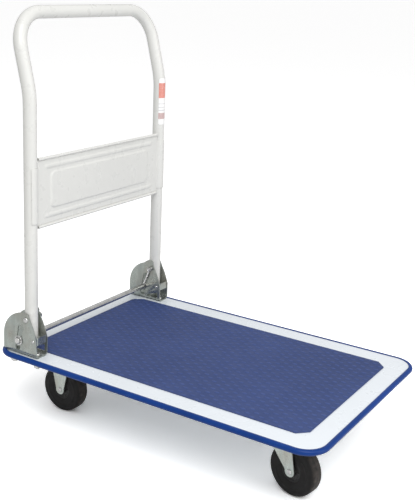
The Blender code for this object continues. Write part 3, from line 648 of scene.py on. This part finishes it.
def make_panel():
    """One pressed sheet: rolled top and bottom, embossed middle, sides wrapped round the tubes."""
    skin_radius = TUBE_RADIUS + GAP + PANEL_SHEET / 2
    plane = PANEL_FRONT - PANEL_SHEET / 2
    meet = math.degrees(math.acos((plane - TUBE_X) / skin_radius))
    wrap = arc(TUBE_X, -TUBE_Y, skin_radius, -39, meet, 16)
    across = TUBE_Y - TUBE_RADIUS - GAP
    half_count = 75
    inner_ys = [across * (i / half_count - 1) for i in range(2 * half_count + 1)]
    roll = HEM_RADIUS - PANEL_SHEET / 2
    step_back = 0.0020
    rows = []
    for way, edge in ((-1, PANEL_LOW), (1, PANEL_HIGH)):
        centre_z = edge - way * HEM_RADIUS
        centre_x = plane - step_back + roll
        curl = []
        for degrees in range(0, 331, 22):
            angle = math.radians(degrees)
            curl.append((centre_x - roll * math.cos(angle) - plane, centre_z + way * roll * math.sin(angle)))
        rows.append(curl if way > 0 else curl[::-1])
    low = PANEL_LOW + HEM_RADIUS
    high = PANEL_HIGH - HEM_RADIUS
    body = []
    count = 96
    for i in range(1, count):
        z = low + (high - low) * i / count
        bend = 1 - ease(min(z - low, high - z), 0.0006, 0.0050)
        body.append((-step_back * bend, z))
    stations = [(dx, z, False) for dx, z in rows[0]]
    stations += [(dx, z, FLANGE_LOW <= z <= FLANGE_HIGH) for dx, z in body]
    stations += [(dx, z, False) for dx, z in rows[1]]
    solid = bmesh.new()
    grid = []
    for dx, z, wrapped in stations:
        row = {}
        for i, (x, y) in enumerate(wrap):
            if wrapped:
                row["right", i] = solid.verts.new((x, y, z))
                row["left", i] = solid.verts.new((x, -y, z))
        for i, y in enumerate(inner_ys):
            pressed = panel_emboss(y, z) if low < z < high else 0.0
            row["middle", i] = solid.verts.new((plane + dx + pressed, y, z))
        grid.append(row)
    middle = [("middle", i) for i in range(len(inner_ys))]
    right = [("right", i) for i in range(len(wrap))] + middle[:1]
    left = [("left", i) for i in range(len(wrap))] + middle[-1:]
    for lower, upper in zip(grid, grid[1:]):
        for line in (right, middle, left):
            for a, b in zip(line, line[1:]):
                if all(key in row for row in (lower, upper) for key in (a, b)):
                    solid.faces.new((lower[a], lower[b], upper[b], upper[a]))
    loose = [vert for vert in solid.verts if not vert.link_faces]
    bmesh.ops.delete(solid, geom=loose, context="VERTS")
    sheet = as_object("push_panel", solid)
    thick = sheet.modifiers.new("sheet", "SOLIDIFY")
    thick.thickness = PANEL_SHEET
    thick.offset = 0.0
    thick.use_even_offset = True
    soft = sheet.modifiers.new("edges", "BEVEL")
    soft.width = 0.00025
    soft.segments = 1
    soft.limit_method = "ANGLE"
    soft.angle_limit = math.radians(60)
    show(sheet, "white_paint", "handle", "handle_panel")


def make_label():
    """A thin sticker with rounded corners, wrapped round the front of the left tube."""
    wide = math.radians(58.0)
    corner = 0.004
    film = 0.00022
    radius = TUBE_RADIUS + GAP
    rings = []
    rows = 40
    half_count = 16
    for i in range(rows + 1):
        z = LABEL_LOW + (LABEL_HIGH - LABEL_LOW) * (0.5 - 0.5 * math.cos(math.pi * i / rows))
        past = max(0.0, corner - min(z - LABEL_LOW, LABEL_HIGH - z))
        pulled = corner - math.sqrt(max(corner ** 2 - past ** 2, 0.0))
        half = wide - pulled / radius
        outline = []
        for shell, way in ((radius + film, 1), (radius, -1)):
            for j in range(-half_count, half_count + 1):
                angle = way * half * j / half_count
                x = TUBE_X + shell * math.cos(angle)
                outline.append(Vector((x, TUBE_Y + shell * math.sin(angle), z)))
        rings.append(outline)
    show(skin("tube_label", rings), "label", "handle", "handle_label")


# ---- deck ---------------------------------------------------------------------------------
def lozenge(half_x, half_y, count):
    """A pointed oval, from its +X end anticlockwise."""
    points = []
    for i in range(count):
        angle = 2 * math.pi * i / count
        c = math.cos(angle)
        s = math.sin(angle)
        points.append((half_x * math.copysign(abs(c) ** 1.25, c), half_y * math.copysign(abs(s) ** 0.9, s)))
    return points


def make_mat():
    """A cut rubber sheet: a grid of cells with a small raised lozenge in every second one."""
    low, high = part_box("anti_slip_mat")
    chamfer = 0.0192
    columns, lines = 44, 40
    step_x = (high.x - low.x) / columns
    step_y = (high.y - low.y) / lines
    height = 0.00065
    floor = high.z - height
    walk = [
        (1, 1 / 2), (1, 5 / 6), (1, 1), (2 / 3, 1), (1 / 3, 1), (0, 1), (0, 5 / 6),
        (0, 1 / 2), (0, 1 / 6), (0, 0), (1 / 3, 0), (2 / 3, 0), (1, 0), (1, 1 / 6),
    ]
    count = len(walk)
    shapes = [
        (lozenge(step_x * 0.41, step_y * 0.33, count), 0.0),
        (lozenge(step_x * 0.35, step_y * 0.24, count), height - 0.00015),
        (lozenge(step_x * 0.27, step_y * 0.15, count), height),
    ]
    solid = bmesh.new()
    spots = {}

    def vertex(x, y, z=floor):
        key = (round(x * 1e7), round(y * 1e7), round(z * 1e7))
        if key not in spots:
            spots[key] = solid.verts.new((x, y, z))
        return spots[key]

    for i in range(columns):
        for j in range(lines):
            x0 = low.x + i * step_x
            y0 = low.y + j * step_y
            rim = [vertex(x0 + u * step_x, y0 + v * step_y) for u, v in walk]
            if (i + j) % 2:
                solid.faces.new(rim)
                continue
            centre = (x0 + step_x / 2, y0 + step_y / 2)
            for outline, rise in shapes:
                inner = [vertex(centre[0] + x, centre[1] + y, floor + rise) for x, y in outline]
                for k in range(count):
                    n = (k + 1) % count
                    solid.faces.new((rim[k], rim[n], inner[n], inner[k]))
                rim = inner
            solid.faces.new(rim)
    for sx, sy in CORNERS:
        spot = Vector((sx * (high.x - chamfer / 2), sy * (high.y - chamfer / 2), 0))
        geometry = solid.verts[:] + solid.edges[:] + solid.faces[:]
        bmesh.ops.bisect_plane(
            solid, geom=geometry, dist=1e-7, plane_co=spot, plane_no=(sx, sy, 0), clear_outer=True
        )
    rim = [edge for edge in solid.edges if edge.is_boundary]
    made = bmesh.ops.extrude_edge_only(solid, edges=rim)["geom"]
    base = [item for item in made if isinstance(item, bmesh.types.BMVert)]
    for vert in base:
        vert.co.z = low.z
    bottom = [item for item in made if isinstance(item, bmesh.types.BMEdge) and item.is_boundary]
    bmesh.ops.edgeloop_fill(solid, edges=bottom)
    show(as_object("deck_mat", solid), "blue_mat", "chassis", "anti_slip_mat")


def make_bumper():
    """The vinyl edge strip, pushed over the sheet, butted at the middle of the rear edge."""
    low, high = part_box("edge_bumper")
    corner = 0.048
    corner_steps = 20
    reach = 0.0085
    groove = -0.0027
    seam = 0.0003
    spacing = 0.018
    top = high.z
    bottom = low.z
    nose = (top - bottom) / 2
    sheet_top = DECK_TOP + GAP
    sheet_low = DECK_TOP - DECK_SHEET - GAP
    section = [(-reach, sheet_top + 0.0001), (-reach, top - 0.0007), (-reach + 0.0003, top - 0.0002)]
    section += [(-reach + 0.0009, top), (-reach + 0.0032, top - 0.0001)]
    section += arc(-nose, top - nose, nose, 90, -90, 16)
    section += [(-reach + 0.0024, bottom), (-reach + 0.0010, bottom), (-reach, bottom + 0.0008)]
    section += [(-reach, sheet_low), (groove, sheet_low), (groove, sheet_top)]
    path = [(Vector((low.x, -seam, 0)), Vector((-1, 0, 0)))]
    for sx, sy, start in ((-1, -1, 180), (1, -1, 270), (1, 1, 0), (-1, 1, 90)):
        centre = Vector((sx * (high.x - corner), sy * (high.y - corner), 0))
        for i in range(corner_steps + 1):
            angle = math.radians(start + 90 * i / corner_steps)
            outward = Vector((math.cos(angle), math.sin(angle), 0))
            path.append((centre + outward * corner, outward))
    path.append((Vector((low.x, seam, 0)), Vector((-1, 0, 0))))
    stations = []
    for (point, outward), (after, outward_after) in zip(path, path[1:]):
        pieces = max(1, round((after - point).length / spacing))
        for i in range(pieces):
            t = i / pieces
            stations.append((point.lerp(after, t), outward.lerp(outward_after, t).normalized()))
    stations.append(path[-1])
    rings = []
    for point, outward in stations:
        wave = 0.00010 * (noise.noise(point * 14.0) - 1.0)
        rings.append([point + outward * (u + wave) + UP * v for u, v in section])
    show(skin("bumper_strip", rings), "blue_pvc", "chassis", "edge_bumper")


# ---- fasteners ----------------------------------------------------------------------------
def threaded(radius, depth, pitch, top, bottom, angle):
    """Rows of a screw thread's profile at one angle, from top to bottom."""
    rows = []
    count = max(4, round((top - bottom) / pitch * 5))
    for i in range(count + 1):
        z = top + (bottom - top) * i / count
        turn = (z / pitch + angle / (2 * math.pi)) % 1.0
        rows.append((radius - depth * abs(2 * turn - 1), z))
    return rows


def hex_nut(name, at, flats=0.013, thickness=0.0062, bore=0.0043):
    def profile(angle):
        out = hexagon(flats, angle)
        flat = flats * 0.475
        drop = (out - flat) * 0.50
        top = thickness / 2
        return [
            (bore, top - 0.0004), (bore + 0.0005, top), (flat, top), (out, top - drop),
            (out, drop - top), (flat, -top), (bore + 0.0005, -top), (bore, 0.0004 - top),
        ]
    return turned(name, profile, at, 72)


def button_bolt(name, at, head, rise, shank, bottom, thread_top):
    """A bolt down the local Z axis with a domed head and a hexagon socket, seated at Z = 0."""
    def profile(angle):
        socket = hexagon(0.0044, angle)
        rows = [(0, rise - 0.0021), (socket * 0.96, rise - 0.0020), (socket, rise - 0.0003)]
        rows += [(socket + 0.0003, rise), (head * 0.62, rise - 0.0001), (head * 0.80, rise * 0.80)]
        rows += [(head * 0.94, rise * 0.47), (head, rise * 0.13), (head - 0.0001, 0), (shank, 0)]
        rows += threaded(shank, 0.00045, 0.00125, thread_top, bottom + 0.0005, angle)
        return rows + [(shank * 0.72, bottom), (0, bottom)]
    return turned(name, profile, at, 60)


def make_bracket_bolts(side, sign):
    """The two bolts through a bracket's base, with their nuts below the channel."""
    y = sign * TUBE_Y
    for number, x in enumerate(BOLTS_X, 1):
        node = f"{side}_bracket_bolt_{number}"
        low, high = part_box(node)
        seat = DECK_TOP + BRACKET_SHEET
        at = Matrix.Translation((x, y, seat)) @ Matrix.Rotation(0.4 * number + sign, 4, "Z")
        bolt = button_bolt(f"{side}_bracket_screw_{number}", at, 0.0065, high.z - seat, 0.0040,
                           low.z - seat, -0.016)
        show(bolt, "steel", "chassis", node)
        node = f"{side}_bracket_nut_{number}"
        low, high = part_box(node)
        turn = Matrix.Rotation(0.7 * number + sign, 4, "Z")
        at = Matrix.Translation((x, y, (low.z + high.z) / 2)) @ turn
        nut = hex_nut(f"{side}_bracket_hex_nut_{number}", at, 0.013, high.z - low.z)
        show(nut, "steel", "chassis", node)


def make_pivot(side, sign):
    """The handle's hinge bolt: a round head outside, and a thread with a nut on the deck side."""
    y = sign * TUBE_Y
    at = frame_of((TUBE_X, y, PIVOT_Z), (0, sign, 0))
    face = BRACKET_HALF + GAP

    def profile(angle):
        rows = [(0, face + 0.0031), (0.0016, face + 0.0031), (0.0034, face + 0.0028)]
        rows += [(0.0048, face + 0.0020), (0.0056, face + 0.0010), (0.0058, face), (PIN_RADIUS, face)]
        rows += [(PIN_RADIUS, -face - 0.0055), (0.0030, -face - 0.0056)]
        rows += threaded(0.0030, 0.00035, 0.0010, -face - 0.0060, -face - 0.0088, angle)
        return rows + [(0.0022, -face - 0.0091), (0, -face - 0.0091)]
    show(turned(f"{side}_pivot_rivet", profile, at, 48), "steel", "chassis", f"{side}_pivot_bolt")
    seat = at @ Matrix.Translation((0, 0, -face - 0.0073)) @ Matrix.Rotation(0.3, 4, "Z")
    nut = hex_nut(f"{side}_pivot_hex_nut", seat, 0.0100, 0.0026, 0.0033)
    show(nut, "steel", "chassis", f"{side}_pivot_nut")


def make_strap_rivets(side, sign):
    """Rivets through the strap's ends; the inner one also holds the doubler."""
    y = sign * TUBE_Y
    skin_face = BRACKET_HALF - 0.0046
    for where, way, doubler in (("outer", 1, 0.0), ("inner", -1, 0.0010)):
        face = BRACKET_HALF + GAP + doubler
        at = frame_of((RIVET_X, y, RIVET_Z), (0, sign * way, 0))
        profile = [
            (0, face + 0.0019), (0.0010, face + 0.0019), (0.0021, face + 0.0016),
            (0.0031, face + 0.0009), (0.0036, face + 0.0001), (0.0035, face), (0.0020, face),
            (0.0020, skin_face), (0.0034, skin_face), (0.0030, skin_face - 0.0007),
            (0.0012, skin_face - 0.0010), (0, skin_face - 0.0006),
        ]
        piece = turned(f"{side}_{where}_rivet", profile, at, 40)
        show(piece, "steel", "chassis", f"{side}_{where}_strap_rivet")


def make_doubler(side, sign):
    """A thin stiffening plate on the deck side of the inner bracket plate."""
    z = DECK_TOP
    outline = [(-0.2981, z + 0.0139), (-0.2647, z + 0.0248), (-0.2645, z + 0.0539), (-0.2977, z + 0.0391)]
    y = sign * (TUBE_Y - BRACKET_HALF - 0.0005)
    hole = arc(RIVET_X, RIVET_Z, 0.0022, 360, 15, 23)
    at = Matrix.Translation((0, y, 0)) @ FACING_Y
    show(plate(f"{side}_doubler", outline, 0.0010, at, [hole], 0.0002), "zinc", "chassis")


def make_caster_bolts(side, sign):
    """The nuts, washers and bolt ends below the corners of both caster plates."""
    fixings = []
    washer = [
        (0.0033, -0.0002), (0.0064, -0.0002), (0.0066, -0.0004), (0.0066, -0.0010),
        (0.0064, -0.0012), (0.0033, -0.0012),
    ]

    def stud(angle):
        rows = threaded(0.0030, 0.00035, 0.0010, -0.0003, -0.0072, angle)
        return [(0, -0.0002)] + rows + [(0.0022, -0.0076), (0, -0.0076)]

    for node in (f"{side}_rigid_housing", f"{side}_swivel_plate"):
        low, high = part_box(node)
        middle = (low + high) / 2
        seat = high.z - CASTER_PLATE
        for sx, sy in CORNERS:
            x = middle.x + sx * CASTER_BOLTS[0]
            y = sign * CASTER_Y + sy * CASTER_BOLTS[1]
            turn = Matrix.Rotation(sx * 0.35 + sy * 0.9, 4, "Z")
            at = Matrix.Translation((x, y, seat)) @ turn
            lower = at @ Matrix.Translation((0, 0, -0.0036))
            fixings.append(turned("washer", washer, at, 32))
            fixings.append(hex_nut("nut", lower, 0.0100, 0.0044, 0.0032))
            fixings.append(turned("stud", stud, at, 24))
    show(join(f"{side}_caster_fixings", fixings), "steel", "chassis")


# ---- lock bar -----------------------------------------------------------------------------
def push_washer(angle):
    """A sprung washer with toothed tongues that bend outwards to grip the bar."""
    tongue = ease(0.5 + 0.5 * math.cos(10 * angle), 0.25, 0.60)
    reach = 0.0078 - 0.0015 * tongue
    lift = 0.0013 * tongue
    wave = 0.0002 * math.cos(20 * angle)
    half = 0.0004
    return [
        (reach, half + lift), (0.0081, half + 0.0003), (0.0088, half), (0.0096, half - wave),
        (0.0100, 0), (0.0096, -half - wave), (0.0088, -half), (0.0081, -half + 0.0003),
        (reach, -half + lift),
    ]


def make_lock_bar():
    """The foot-pressed bar and the push-on washers at its ends."""
    low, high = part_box("lock_bar")
    ends = [Vector((BAR_X, y, BAR_Z)) for y in (low.y, low.y + 0.012, 0.0, high.y - 0.012, high.y)]
    show(rod("lock_rod", ends, BAR_RADIUS, 32, 0.0008), "steel", "lock_bar", "lock_bar")
    for side, sign in SIDES.items():
        node = f"{side}_bar_clip"
        low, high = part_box(node)
        at = frame_of((BAR_X, (low.y + high.y) / 2, BAR_Z), (0, sign, 0))
        show(turned(f"{side}_push_washer", push_washer, at, 120), "steel", "lock_bar", node)


def make_spring(side, sign):
    """A tension spring from the pivot bolt's shank to the lock bar, with a hook at each end."""
    wire_radius = 0.00048
    coil_radius = 0.00215
    y = sign * (TUBE_Y - BRACKET_HALF - 0.0033)
    pin = Vector((TUBE_X, y, PIVOT_Z))
    bar = Vector((BAR_X, y, BAR_Z))
    along = (bar - pin).normalized()
    sideways = Vector((0, 1, 0))
    out = along.cross(sideways).normalized()
    pin_loop = PIN_RADIUS + 2 * wire_radius
    bar_loop = BAR_RADIUS + 2 * wire_radius
    clear = 0.0012
    start = pin + along * (pin_loop + clear)
    run = bar - along * (bar_loop + clear) - start
    path = []
    for degrees in range(285, -1, -15):
        angle = math.radians(degrees)
        path.append(pin + (along * math.cos(angle) + out * math.sin(angle)) * pin_loop)
    turns, steps = 30, 14
    for i in range(turns * steps + 1):
        angle = 2 * math.pi * i / steps
        taper = min(1.0, 0.35 + i / steps, 0.35 + (turns * steps - i) / steps)
        offset = (out * math.cos(angle) + sideways * math.sin(angle)) * (coil_radius * taper)
        path.append(start + run * (i / (turns * steps)) + offset)
    for degrees in range(0, -286, -15):
        angle = math.radians(degrees)
        path.append(bar + (out * math.sin(angle) - along * math.cos(angle)) * bar_loop)
    spring = rod(f"{side}_coil_spring", path, wire_radius, 8)
    show(spring, "steel", None, f"{side}_lock_spring")
    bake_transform(spring)


# ---- casters ------------------------------------------------------------------------------
def tyre_profile():
    """A solid tyre from its bore to the rounded shoulders and the parting line on its tread."""
    half = WHEEL_HALF
    shoulder = WHEEL_RADIUS - 0.0082
    side = [(HUB_RADIUS + GAP, half - 0.0013), (0.0240, half - 0.0009), (0.0300, half - 0.0006)]
    side += [(0.0340, half - 0.0005), (0.0344, half - 0.0003), (0.0354, half - 0.0003)]
    side += [(0.0358, half - 0.0005)]
    for degrees in range(0, 90, 9):
        angle = math.radians(degrees)
        side.append((shoulder + 0.0080 * math.sin(angle), half - 0.0004 - 0.0066 * (1 - math.cos(angle))))
    side += [(0.0498, half - 0.0072), (0.0499, 0.0050), (0.0499, 0.0006), (0.0500, 0.0002)]
    return side + [(r, -z) for r, z in reversed(side)]


def hub_profile(angle):
    """A nylon hub: a boss, a ribbed web and a rim."""
    rib = ease(math.cos(6 * angle), 0.80, 0.96)
    web = 0.0118 + 0.0008 * rib
    half = HUB_HALF
    side = [(AXLE_RADIUS + GAP, half), (0.0080, half), (0.0086, half - 0.0006), (0.0092, half - 0.0022)]
    side += [(0.0102, web), (0.0176, web), (0.0184, half - 0.0034), (0.0190, half - 0.0028)]
    side += [(0.0207, half - 0.0028), (HUB_RADIUS, half - 0.0032)]
    return side + [(r, -z) for r, z in reversed(side)]


def axle_profile():
    """A riveted axle with a rounded head at each end."""
    face = AXLE_FACE
    head = [(0, face + 0.0009), (0.0016, face + 0.0010), (0.0024, face + 0.0017), (0.0032, face + 0.0018)]
    head += [(0.0042, face + 0.0016), (0.0050, face + 0.0009), (0.0053, face + 0.0002), (0.0052, face)]
    head += [(AXLE_RADIUS, face)]
    return head + [(r, -z) for r, z in reversed(head)]


def make_wheels(side):
    """The tyre, hub and axle of a side's two wheels, each on its own spin axis."""
    for end, axle, rider in (("rear", "rigid", "chassis"), ("front", "swivel", f"{side}_swivel")):
        joint = JOINTS[f"{side}_{end}_wheel_spin"]
        at = frame_of(joint["pos_m"], joint["axis"])
        wheel = f"{side}_{end}"
        tyre = turned(f"{wheel}_tread", tyre_profile(), at, 96)
        show(tyre, "tyre", f"{wheel}_wheel", f"{wheel}_tyre")
        hub = turned(f"{wheel}_hub_disc", hub_profile, at, 144)
        show(hub, "hub_plastic", f"{wheel}_wheel", f"{wheel}_hub")
        pin = turned(f"{side}_{axle}_axle_pin", axle_profile(), at, 48)
        show(pin, "steel", rider, f"{side}_{axle}_axle")


def make_race(side):
    """The swivel head's ring of balls, in a dished ring below them."""
    low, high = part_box(f"{side}_ball_race")
    x, y, _ = JOINTS[f"{side}_swivel_turn"]["pos_m"]
    middle = (low.z + high.z) / 2
    balls = bmesh.new()
    radius = 0.0198
    count = 24
    size = (high.z - low.z) / 2 - GAP
    for i in range(count):
        angle = 2 * math.pi * i / count
        spot = Vector((x + radius * math.cos(angle), y + radius * math.sin(angle), middle))
        bmesh.ops.create_icosphere(balls, subdivisions=2, radius=size, matrix=Matrix.Translation(spot))
    ring = [
        (0.0120, low.z + 0.0034), (0.0150, low.z + 0.0034), (0.0168, low.z + 0.0014),
        (0.0185, low.z + 0.0007), (0.0232, low.z + 0.0007), (0.0232, low.z), (0.0120, low.z),
    ]
    centre = Matrix.Translation((x, y, 0))
    pieces = [as_object("balls", balls), turned("lower_ring", ring, centre, 64)]
    show(join(f"{side}_ball_ring", pieces), "steel", f"{side}_swivel", f"{side}_ball_race")


# ---- camera, floor and light --------------------------------------------------------------
CAMERA_AT = (0.9192, -1.4941, 0.9118)
CAMERA_AZIMUTH = 31.97       # degrees, 0 looks along +Y
CAMERA_PITCH = -13.82
CAMERA_ROLL = 2.26
CAMERA_LENS = 65.78          # millimetres on a 36 mm frame
CAMERA_SHIFT = -0.10
FLOOR_SIZE = 160.0
PAPER = (0.80, 0.80, 0.80)
PAPER_SEEN = (1.50, 1.50, 1.50)


def make_camera():
    data = bpy.data.cameras.new("camera")
    data.lens = CAMERA_LENS
    data.sensor_width = 36.0
    data.shift_y = CAMERA_SHIFT
    data.clip_start = 0.05
    data.clip_end = 300.0
    camera = bpy.data.objects.new("camera", data)
    turn = Matrix.Rotation(math.radians(CAMERA_AZIMUTH), 4, "Z")
    tilt = Matrix.Rotation(math.radians(90 + CAMERA_PITCH), 4, "X")
    roll = Matrix.Rotation(math.radians(CAMERA_ROLL), 4, "Z")
    camera.matrix_world = Matrix.Translation(CAMERA_AT) @ turn @ tilt @ roll
    bpy.context.scene.collection.objects.link(camera)
    bpy.context.scene.camera = camera


def make_floor():
    """Pale paper that the camera sees brighter than the trolley does, so that it reads white."""
    bpy.ops.mesh.primitive_plane_add(size=FLOOR_SIZE)
    floor = bpy.context.object
    floor.name = "floor"
    look, tree, shader = new_look("floor")
    seen = add(tree, "LightPath").outputs["Is Camera Ray"]
    tone = mixed(tree, seen, PAPER, PAPER_SEEN)
    paper = add(tree, "BsdfDiffuse", {"Color": tone}).outputs["BSDF"]
    output = next(node for node in tree.nodes if node.type == "OUTPUT_MATERIAL")
    tree.links.new(paper, output.inputs["Surface"])
    tree.nodes.remove(shader)
    floor.data.materials.append(look)


def area_light(name, size, power, place, target):
    data = bpy.data.lights.new(name, "AREA")
    data.shape = "RECTANGLE"
    data.size, data.size_y = size
    data.energy = power
    lamp = bpy.data.objects.new(name, data)
    lamp.location = place
    lamp.rotation_mode = "QUATERNION"
    lamp.rotation_quaternion = (Vector(target) - Vector(place)).to_track_quat("-Z", "Y")
    bpy.context.scene.collection.objects.link(lamp)


def make_light():
    """Soft patchy light from all round, plain white to the camera, and two large soft lamps."""
    world = bpy.data.worlds.new("studio")
    world.use_nodes = True
    tree = world.node_tree
    background = tree.nodes["Background"]
    aim = add(tree, "TexCoord").outputs["Generated"]
    climb = add(tree, "SeparateXYZ", {"Vector": aim}).outputs["Z"]
    patches = add(tree, "TexNoise", {"Vector": aim, "Scale": 2.2, "Detail": 1.0}).outputs["Fac"]
    patchy = span(tree, patches, 0.38, 0.62, 0.70, 1.15)
    soft = times(tree, span(tree, climb, -0.1, 0.9, 0.50, 0.74), patchy)
    seen = add(tree, "LightPath").outputs["Is Camera Ray"]
    strength = add(tree, "Mix", {"Factor": seen, "A": soft, "B": 1.0}, data_type="FLOAT").outputs[0]
    tree.links.new(strength, background.inputs["Strength"])
    background.inputs["Color"].default_value = (1.0, 1.0, 1.0, 1.0)
    bpy.context.scene.world = world
    bpy.context.scene.view_settings.view_transform = "Standard"
    area_light("key", size=(2.2, 2.2), power=60.0, place=(1.3, -1.5, 2.6), target=(0.0, 0.0, 0.3))
    area_light("fill", size=(2.0, 2.4), power=26.0, place=(2.6, 0.2, 1.3), target=(0.0, 0.0, 0.4))


# ---- the whole trolley --------------------------------------------------------------------
def main():
    make_camera()
    make_floor()
    make_light()
    make_tube()
    make_panel()
    make_label()
    make_mat()
    make_bumper()
    make_lock_bar()
    for side, sign in SIDES.items():
        make_bracket_bolts(side, sign)
        make_pivot(side, sign)
        make_strap_rivets(side, sign)
        make_doubler(side, sign)
        make_caster_bolts(side, sign)
        make_spring(side, sign)
        make_wheels(side)
        make_race(side)
    dress_frame()


main()
